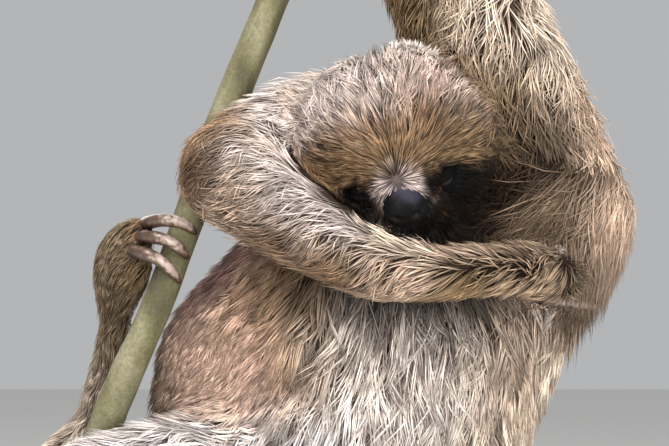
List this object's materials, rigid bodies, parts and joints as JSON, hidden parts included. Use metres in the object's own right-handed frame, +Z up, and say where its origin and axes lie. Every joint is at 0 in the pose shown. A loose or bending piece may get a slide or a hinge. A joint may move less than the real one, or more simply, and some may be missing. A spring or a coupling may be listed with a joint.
{
  "type": "life-size three-toed sloth model",
  "caption": "Still, life-size model of a three-toed sloth hugging itself with one arm and hanging from a short stem by the other, on a flat display stand.",
  "frame": {"origin": "middle of the underside of the stand's base, on the surface that it stands on", "axes": "+Z up; the animal faces -Y; +X is the viewer's right, which is the animal's left"},
  "size_m": [0.33, 0.27, 0.5905],
  "materials": {
    "coat_head": "fine hair, golden tan, with a black stripe through each eye",
    "coat_trunk": "long pale hair with olive-brown roots, short tan fur on the belly",
    "coat_arms": "coarse pale hair, browner towards its roots",
    "coat_legs": "pale hair on the thighs, short grey-brown fur on shins and feet",
    "nose_skin": "damp, finely pebbled black skin",
    "eye": "wet dark brown",
    "claw_horn": "smooth pale horn with a brown underside",
    "stem_bark": "thin grey-green bark",
    "stand_wood": "dark oiled hardwood, satin",
    "stand_metal": "brushed steel"
  },
  "bodies": {
    "root": {"arm_left_lower": "coat_arms", "arm_left_upper": "coat_arms", "arm_right_lower": "coat_arms", "arm_right_upper": "coat_arms", "claw_foot_left_1": "claw_horn", "claw_foot_left_2": "claw_horn", "claw_foot_left_3": "claw_horn", "claw_foot_right_1": "claw_horn", "claw_foot_right_2": "claw_horn", "claw_foot_right_3": "claw_horn", "claw_hand_left_1": "claw_horn", "claw_hand_left_2": "claw_horn", "claw_hand_left_3": "claw_horn", "claw_hand_right_1": "claw_horn", "claw_hand_right_2": "claw_horn", "claw_hand_right_3": "claw_horn", "eye_left": "eye", "eye_right": "eye", "foot_left": "coat_legs", "foot_right": "coat_legs", "hand_left": "coat_arms", "hand_right": "coat_arms", "head": "coat_head", "leg_left_lower": "coat_legs", "leg_left_upper": "coat_legs", "leg_right_lower": "coat_legs", "leg_right_upper": "coat_legs", "neck": "coat_trunk", "nose": "nose_skin", "perch_stem": "stem_bark", "stand_base": "stand_wood", "stand_cup": "stand_metal", "stand_rod_body": "stand_metal", "stand_rod_perch": "stand_metal", "tail": "coat_trunk", "trunk": "coat_trunk"}
  },
  "joints": []
}
